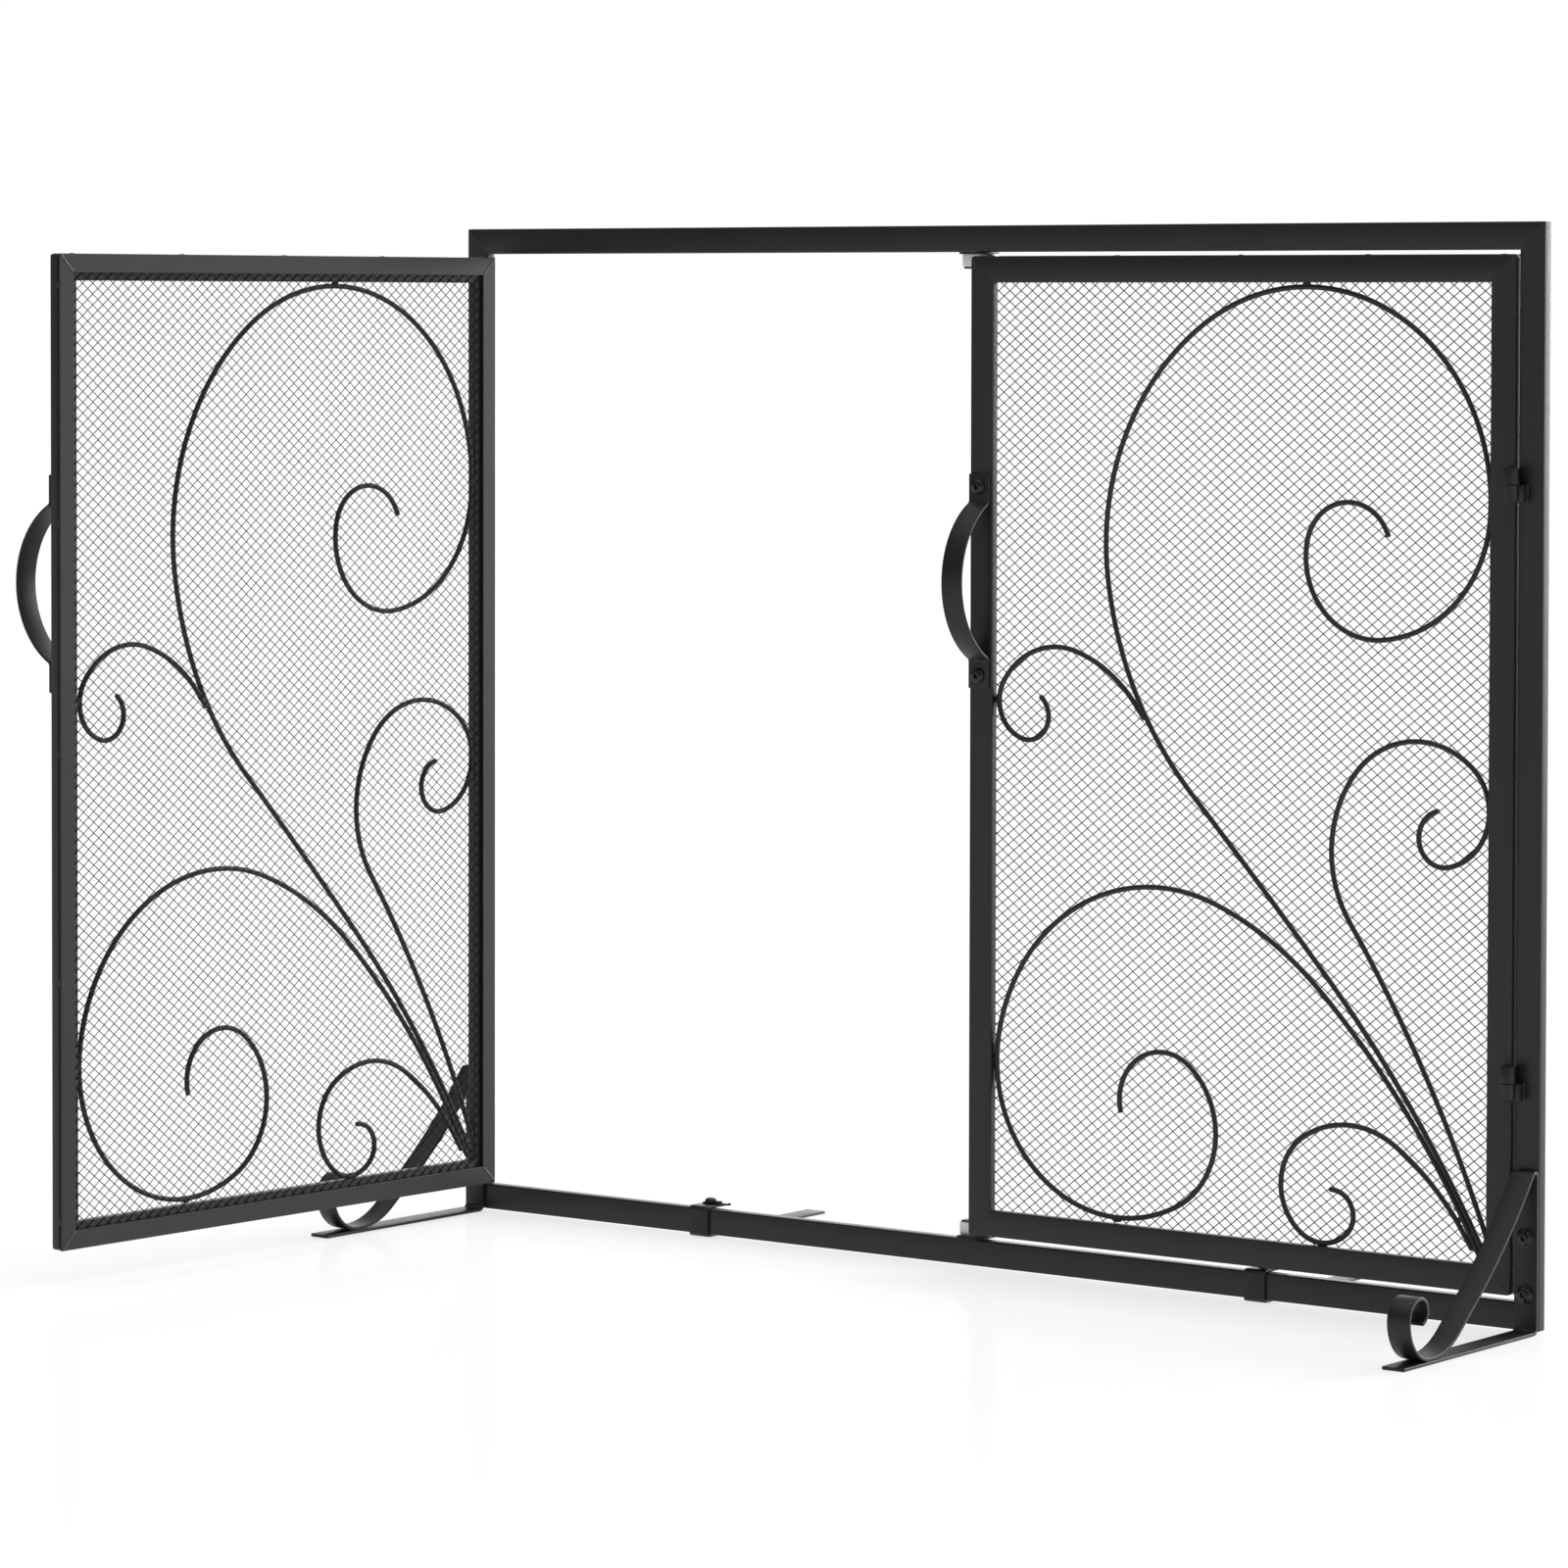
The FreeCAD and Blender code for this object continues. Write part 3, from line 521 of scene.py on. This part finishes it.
def hinge_pin():
    """Lower knuckle with its pin, and the block that joins it to the stile."""
    shape = Shape()
    shape.add(*lathe([(4.6, 0), (5.2, 0.5), (5.2, KNUCKLE - 0.35), (4.9, KNUCKLE), (2.6, KNUCKLE),
                      (2.5, KNUCKLE + 0.1), (2.5, KNUCKLE + 8.4), (2.0, KNUCKLE + 9)]))
    shape.add(*slab((0.75, 0.4, 0), (8.75, 8.5, KNUCKLE), 0.6))
    return shape


def door_knuckle():
    """Upper knuckle, closed on top, with the leaf that joins it to the door."""
    shape = Shape()
    shape.add(*lathe([(2.9, 0), (4.9, 0), (5.5, 0.5), (5.5, KNUCKLE - 0.9), (5.2, KNUCKLE - 0.3),
                      (4.5, KNUCKLE), (0.4, KNUCKLE)]))
    shape.add(*slab((-5.75, 3.5, 0.2), (0, 5.5, KNUCKLE - 0.2), 0.3))
    return shape


def hinge_weld(x, y, radius, flatness, seed):
    """Upright row of weld lumps beside a knuckle."""
    shape = Shape()
    for k in range(WELD_LUMPS):
        shape.add(*bead(radius, (1, flatness, 1.25), seed + k, 0.2),
                  at(x, y, LOWEST_LUMP + k * LUMP_STEP))
    return shape


for side, mirror, door in SIDES:
    for place, height in HINGE_HEIGHTS:
        stand = mirror @ at(AXIS_X, AXIS_Y, height)
        piece(f"{side}_{place}_hinge_pin_form", hinge_pin(), TUBE, "frame",
              [f"{side}_{place}_hinge_pin"], stand)
        piece(f"{side}_{place}_hinge_weld", hinge_weld(8.4, 7.7, 1.35, 0.8, 1), WELD, "frame", [],
              stand)
        stand = door @ at(AXIS_X, AXIS_Y, height + KNUCKLE + KNUCKLE_GAP)
        piece(f"{side}_door_{place}_knuckle_form", door_knuckle(), TUBE, f"{side}_door",
              [f"{side}_door_{place}_knuckle"], stand)
        piece(f"{side}_door_{place}_hinge_weld", hinge_weld(-5.2, 4.55, 1.3, 0.72, 11), WELD,
              f"{side}_door", [], stand)

# ---- door frames ----
DOOR_CORNER = 3.0
RETAINER_WIDTH, RETAINER_FRONT, RETAINER_BACK = 14.0, 1.7, 3.0
SEAM_LENGTH, SEAM_WIDTH, SEAM_HEIGHT, SEAM_EDGE, SEAM_Y = 17.5, 2.2, 0.5, 0.2, 2.95
GROOVE_INSET, GROOVE_Y = 0.35, 0.85


def retainer_ring():
    """Flat ring of strip with soft edges."""
    outer = [(LEFT, LOW), (RIGHT, LOW), (RIGHT, HIGH), (LEFT, HIGH)]
    inward, across = 0.35, 0.3
    bands = ((inward, RETAINER_BACK), (0.0, RETAINER_BACK - across), (0.0, RETAINER_FRONT),
             (RETAINER_WIDTH, RETAINER_FRONT), (RETAINER_WIDTH, RETAINER_BACK - across),
             (RETAINER_WIDTH - inward, RETAINER_BACK))
    verts = []
    for inset, depth in bands:
        for (x, z), (sx, sz) in zip(outer, ((1, 1), (-1, 1), (-1, -1), (1, -1))):
            verts.append((x + sx * inset, depth, z + sz * inset))
    faces = []
    for i in range(len(bands)):
        j = (i + 1) % len(bands)
        for k in range(4):
            n = (k + 1) % 4
            faces.append((i * 4 + k, i * 4 + n, j * 4 + n, j * 4 + k))
    return Shape().add(verts, faces)


def corner_seams():
    """Dressed weld runs on the mitred corners of the retainer."""
    shape = Shape()
    for x, way in ((LEFT, 1), (RIGHT, -1)):
        for z, up in ((LOW, 1), (HIGH, -1)):
            path, headings = chain([(SEAM_LENGTH,)], heading=math.degrees(math.atan2(up, way)),
                                   start=(x + way, z + up), step=0.4)
            path, headings, sizes = softened(path, headings, 1.2)
            section = rounded(SEAM_HEIGHT, SEAM_WIDTH, SEAM_EDGE, 2)
            shape.add(*sweep(path, headings, section, sizes), at(0, SEAM_Y, 0))
    return shape


def tack_welds():
    """Tacks that bridge the groove between the door tubes and the retainer."""
    shape = Shape()
    seed = 0
    for share in (0.03, 0.27, 0.5, 0.73, 0.97):
        for x in (LEFT + GROOVE_INSET, RIGHT - GROOVE_INSET):
            seed += 1
            shape.add(*bead(1.6, (0.5, 0.95, 1.9), seed, 0.2),
                      at(x, GROOVE_Y, LOW + share * (HIGH - LOW)))
        for z in (LOW + GROOVE_INSET, HIGH - GROOVE_INSET):
            seed += 1
            shape.add(*bead(1.6, (1.9, 0.95, 0.5), seed, 0.2),
                      at(LEFT + share * (RIGHT - LEFT), GROOVE_Y, z))
    return shape


# ---- woven mesh ----
PITCH, RISE, WIRE_RADIUS = 5.1, 4.0, 0.405
# a turn's strands end NECK short of the column's edge and TURN above and below it; its tip is HOOK past
NECK, TURN, HOOK = 0.46, 0.36, 0.28
WEAVE_Y, CROSSING = 0.85, 0.43
SAG, SAG_SCALE = 0.16, 0.05
STRAND_FLATNESS = 0.85
MESH_LEFT, MESH_RIGHT, MESH_LOW, MESH_HIGH = 5.2, 464.8, 29.8, 760.2
FIRST_COLUMN = 3.0
COLUMNS = int((MESH_RIGHT - MESH_LEFT - 2 * FIRST_COLUMN) / PITCH) + 1


def woven(first, last):
    """Flat linked coils, one per column: each hooks round its neighbours at every turn."""
    shape = Shape()
    verts, faces = shape.verts, shape.faces
    rows = int((MESH_HIGH - MESH_LOW) / RISE)
    run = PITCH - 2 * NECK
    climb = RISE - 2 * TURN
    outward, upward = climb / math.hypot(run, climb), run / math.hypot(run, climb)
    last_ring = 3 * rows + 2
    for column in range(first, last):
        centre = MESH_LEFT + FIRST_COLUMN + column * PITCH
        start = len(verts)
        for row in range(rows + 1):
            out = 1 if (row + column) % 2 else -1
            z = MESH_LOW + row * RISE
            sag = SAG * noise.noise(Vector((centre * SAG_SCALE, 0, z * SAG_SCALE)))
            apex = centre + out * PITCH / 2 + sag
            # three rings of four points per turn: below it, at its tip and above it
            for way in (-1, 0, 1):
                across = Vector((out * (outward if way else 1), 0, way * upward)) * WIRE_RADIUS
                depth = WEAVE_Y + CROSSING * way * out
                middle = Vector((apex + out * (-NECK if way else HOOK), depth, z + way * TURN))
                thick = Y * WIRE_RADIUS * (STRAND_FLATNESS if way else 1.0)
                verts += [middle + across, middle + thick, middle - across, middle - thick]
        for i in range(last_ring):
            # a strand crosses from one side to the other, so the order of its points turns over
            onward = (2, 1, 0, 3) if i % 3 == 2 else (0, 1, 2, 3)
            a = start + i * 4
            for j in range(4):
                k = (j + 1) % 4
                faces.append((a + j, a + k, a + 4 + onward[k], a + 4 + onward[j]))
        faces.append(tuple(start + j for j in range(4)))
        faces.append(tuple(start + last_ring * 4 + j for j in range(4)))
    return shape


# ---- scroll rods ----
# inner edges of the door's hinge stile, free stile, top rail and bottom rail
HINGE_EDGE, FREE_EDGE = RIGHT - TUBE_WIDTH, LEFT + TUBE_WIDTH
TOP_EDGE, BOTTOM_EDGE = HIGH - TUBE_WIDTH, LOW + TUBE_WIDTH
ROD_EDGE, WELD_Y = 1.9, -2.1

# x, z of the welds between rods
MEETINGS = ((147.5, 430.2), (434.5, 66.0), (424.5, 76.0), (442.5, 53.5))


def scroll_rod(scroll):
    """Rod with its tail carried back to where it is welded."""
    (x, z, heading), arcs = SCROLLS[scroll]
    tail = TAILS[scroll]
    start = (x - tail * math.cos(math.radians(heading)), z - tail * math.sin(math.radians(heading)))
    path, headings = chain(((tail,),) + arcs, heading=heading, start=start, step=2.4, turn=5)
    path, headings, sizes = softened(path, headings, ROD_RADIUS)
    return Shape().add(*sweep(path, headings, disc(ROD_RADIUS), sizes), at(0, -ROD_RADIUS, 0))


def touching(scroll, x=None, z=None):
    """Point of a rod's centre line that comes closest to a line of that x or that z."""
    (start_x, start_z, heading), arcs = SCROLLS[scroll]
    path, _ = chain(arcs, heading=heading, start=(start_x, start_z), step=0.7, turn=2)
    return min(path, key=lambda p: abs(p[0] - x) if z is None else abs(p[1] - z))


def rod_welds():
    """Welds where the rods touch the door tubes and each other."""
    shape = Shape()
    upright, level = (0.7, 1.5), (1.6, 0.7)
    spots = [(touching("main", x=HINGE_EDGE), upright), (touching("main", z=TOP_EDGE), level),
             (touching("upper", x=HINGE_EDGE), upright), (touching("lower", x=FREE_EDGE), upright),
             (touching("lower", z=BOTTOM_EDGE), level), (touching("side", x=FREE_EDGE), upright),
             (touching("small", z=BOTTOM_EDGE), level)]
    for seed, ((x, z), (wide, high)) in enumerate(spots):
        if wide > high:
            z += math.copysign(ROD_EDGE, z - (LOW + HIGH) / 2)
        else:
            x += math.copysign(ROD_EDGE, x - (LEFT + RIGHT) / 2)
        shape.add(*bead(2.3, (wide, 0.75, high), seed, 0.22), at(x, WELD_Y, z))
    for seed, (x, z) in enumerate(MEETINGS):
        shape.add(*bead(1.7, (1.0, 0.8, 1.5), seed + 20, 0.12), at(x, -ROD_RADIUS, z))
    return shape


# ---- doors ----
HANDLE_X, HANDLE_FOOT, HANDLE_TAB, HANDLE_SPAN = 11, 439, 20, 122
HANDLE_SLOPE, HANDLE_BEND = 61.2, 4
HANDLE_BOW = HANDLE_SPAN / 2 / math.sin(math.radians(HANDLE_SLOPE)) - HANDLE_BEND
HANDLE_STEPS = ((HANDLE_TAB,), (HANDLE_BEND, HANDLE_SLOPE), (HANDLE_BOW, -2 * HANDLE_SLOPE),
                (HANDLE_BEND, HANDLE_SLOPE), (HANDLE_TAB,))
LOWER_BOLT = HANDLE_FOOT + HANDLE_TAB / 2
UPPER_BOLT = LOWER_BOLT + HANDLE_SPAN + HANDLE_TAB
THIRD = COLUMNS // 3


def build_door(side, door):
    name = f"{side}_door"

    def add(label, shape, material, nodes, place=UNMOVED, sharp=32):
        piece(f"{name}_{label}", shape, material, name, [f"{name}_{node}" for node in nodes],
              door @ place, sharp)

    middle, half = -DOOR_DEPTH / 2, TUBE_WIDTH / 2
    for label, place in (("hinge_stile", at(RIGHT - half, middle, LOW)),
                         ("free_stile", at(LEFT + half, middle, LOW) @ HALF_TURN)):
        add(f"{label}_tube", mitred_tube(TUBE_WIDTH, DOOR_DEPTH, HIGH - LOW, DOOR_CORNER), TUBE,
            [label], place)
    for label, place in (("top_rail", at(LEFT, middle, HIGH - half) @ LIE_TOP),
                         ("bottom_rail", at(LEFT, middle, LOW + half) @ LIE_BOTTOM)):
        add(f"{label}_tube", mitred_tube(TUBE_WIDTH, DOOR_DEPTH, RIGHT - LEFT, DOOR_CORNER), TUBE,
            [label], place)
        add(f"{label}_welds", mitre_welds(TUBE_WIDTH, DOOR_DEPTH, RIGHT - LEFT), WELD, [],
            place)
    add("retainer_form", retainer_ring(), TUBE, ["mesh_retainer"])
    add("tacks", tack_welds(), WELD, [])
    add("corner_seams", corner_seams(), SEAM, [])
    for label, first, last in (("free", 0, THIRD), ("middle", THIRD, 2 * THIRD),
                               ("hinge", 2 * THIRD, COLUMNS)):
        add(f"mesh_{label}_third", woven(first, last), WIRE, ["mesh"], sharp=80)
    for scroll in SCROLLS:
        add(f"{scroll}_scroll_rod", scroll_rod(scroll), ROD, [f"{scroll}_scroll"])
    add("rod_welds", rod_welds(), WELD, [])
    rise = turned(120, Vector((1, -1, 1)))
    add("handle_strap", bent_strap(HANDLE_STEPS, STRAP_THICK, 0.6, 4), STRAP, ["handle"],
        at(HANDLE_X, -DOOR_DEPTH - STRAP_THICK / 2, HANDLE_FOOT) @ rise)
    for place, height, socket_turn in (("lower", LOWER_BOLT, 9), ("upper", UPPER_BOLT, 24)):
        seat = at(HANDLE_X, -DOOR_DEPTH - STRAP_THICK, height) @ FACE_FRONT @ turned(socket_turn, "Z")
        add(f"handle_{place}_bolt_head", button_head(BOLT_WIDTH, BOLT_HEIGHT), BOLT,
            [f"handle_{place}_bolt"], seat)


for side, _, door in SIDES:
    build_door(side, door)

# ---- floor ----
FLOOR_SIZE, FLOOR_Z = 60, -0.0002


def floor_material():
    """White paper with a trace of polish, lit from within so that it stays white."""
    material = bpy.data.materials.new("white_floor")
    material.use_nodes = True
    tree = material.node_tree
    link = tree.links.new
    tree.nodes.remove(tree.nodes["Principled BSDF"])
    matte = node(tree, "ShaderNodeBsdfDiffuse", Color=(0.34, 0.34, 0.34, 1))
    shine = node(tree, "ShaderNodeBsdfAnisotropic", Roughness=0.12)
    lit = node(tree, "ShaderNodeEmission", Strength=0.675)
    polish = node(tree, "ShaderNodeMixShader", Fac=0.03)
    whole = node(tree, "ShaderNodeAddShader")
    link(matte.outputs["BSDF"], polish.inputs[1])
    link(shine.outputs["BSDF"], polish.inputs[2])
    link(polish.outputs["Shader"], whole.inputs[0])
    link(lit.outputs["Emission"], whole.inputs[1])
    link(whole.outputs["Shader"], tree.nodes["Material Output"].inputs["Surface"])
    return material


ground = bpy.data.meshes.new("floor")
ground.from_pydata([(x * FLOOR_SIZE, y * FLOOR_SIZE, FLOOR_Z)
                    for x, y in ((-1, -1), (1, -1), (1, 1), (-1, 1))], [], [(0, 1, 2, 3)])
ground.materials.append(floor_material())
floor = bpy.data.objects.new("floor", ground)
bpy.context.scene.collection.objects.link(floor)

# ---- light ----
# Seen directly, the backdrop is white. As light it is dim in front, bright behind and overhead.
BACKDROP = 1.03
DIM = 0.12
world = bpy.data.worlds.new("studio")
bpy.context.scene.world = world
world.use_nodes = True
tree = world.node_tree
link = tree.links.new
background = tree.nodes["Background"]
direction = tree.nodes.new("ShaderNodeSeparateXYZ")
link(tree.nodes.new("ShaderNodeTexCoord").outputs["Generated"], direction.inputs["Vector"])


def glow(axis, start, full, strength):
    """Light that grows from nothing to its strength between two values of a direction's axis."""
    made = ramp(tree, direction.outputs[axis], start, full, 0, strength)
    made.interpolation_type = "SMOOTHSTEP"
    return made.outputs["Result"]


def total(one, other, operation="ADD"):
    both = tree.nodes.new("ShaderNodeMath")
    both.operation = operation
    for socket, term in zip(both.inputs, (one, other)):
        if isinstance(term, (int, float)):
            socket.default_value = term
        else:
            link(term, socket)
    return both.outputs["Value"]


# A broad glow behind and a strong one behind on the right; then light from overhead, and a faint
# one from the far right, over what is dim.
behind = total(glow("Y", 0.52, 0.84, 2.4),
               total(glow("Y", 0.76, 0.88, 8.5), glow("X", 0.0, 0.3, 1), "MULTIPLY"))
light = total(total(behind, glow("Z", 0.5, 0.95, 1.1)), total(glow("X", 0.6, 0.95, 0.6), DIM))
seen = node(tree, "ShaderNodeMix", B=BACKDROP)
link(tree.nodes.new("ShaderNodeLightPath").outputs["Is Camera Ray"], seen.inputs["Factor"])
link(light, seen.inputs["A"])
link(seen.outputs["Result"], background.inputs["Strength"])
tint = node(tree, "ShaderNodeMix", data_type="RGBA", A=(1, 1, 1, 1), B=(0.95, 0.88, 1, 1))
link(glow("X", 0.3, 0.7, 1), tint.inputs["Factor"])
link(tint.outputs["Result"], background.inputs["Color"])
bpy.context.scene.view_settings.view_transform = "Standard"

# ---- camera ----
AZIMUTH, TILT, ROLL = (math.radians(angle) for angle in (36.518, 1.959, 0.112))
SENSOR, LENS, SHIFT = 36, 137.594205, -0.17571375
EYE = (2.568811, -3.710233, 0.728106)
forward = Vector((-math.sin(AZIMUTH) * math.cos(TILT), math.cos(AZIMUTH) * math.cos(TILT),
                  -math.sin(TILT)))
level_right = Vector((math.cos(AZIMUTH), math.sin(AZIMUTH), 0))
level_up = level_right.cross(forward)
right = math.cos(ROLL) * level_right + math.sin(ROLL) * level_up
up = math.cos(ROLL) * level_up - math.sin(ROLL) * level_right
camera = bpy.data.cameras.new("camera")
camera.sensor_width = SENSOR
camera.lens = LENS
camera.shift_y = SHIFT
camera.clip_end = 200
view = bpy.data.objects.new("camera", camera)
view.matrix_world = at(*EYE) @ Matrix((right, up, -forward)).transposed().to_4x4()
bpy.context.scene.collection.objects.link(view)
bpy.context.scene.camera = view
